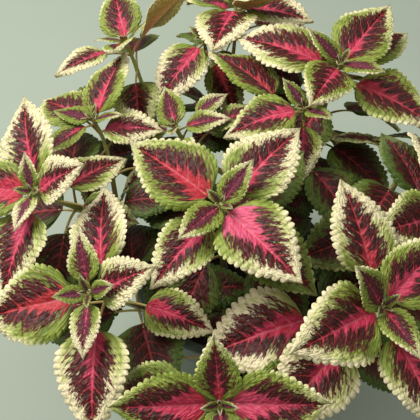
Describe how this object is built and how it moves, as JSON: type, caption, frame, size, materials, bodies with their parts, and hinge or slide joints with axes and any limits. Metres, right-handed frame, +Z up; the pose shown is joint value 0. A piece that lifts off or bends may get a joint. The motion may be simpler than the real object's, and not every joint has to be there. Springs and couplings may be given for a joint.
{
  "type": "potted coleus",
  "caption": "Bushy coleus with scalloped two-tone leaves in opposite pairs on square stems, growing in soil in a plain tapered pot.",
  "frame": {"origin": "centre of the flat underside of the pot", "axes": "+Z up along the pot's axis, -Y towards the side that the plant is seen from, +X to the right"},
  "size_m": [0.4144, 0.4576, 0.3375],
  "materials": {
    "pot": "matt glaze",
    "soil": "loose dark crumb",
    "foliage": "soft velvety leaf"
  },
  "bodies": {
    "root": {"pot": "pot", "soil": "soil", "leafy_stem_middle": "foliage", "leafy_stem_front": "foliage", "leafy_stem_front_left": "foliage", "leafy_stem_front_right": "foliage", "leafy_stem_left": "foliage", "leafy_stem_back_left": "foliage", "leafy_stem_back": "foliage", "leafy_stem_back_right": "foliage", "leafy_stem_core": "foliage", "leafy_stem_right": "foliage"}
  },
  "joints": []
}
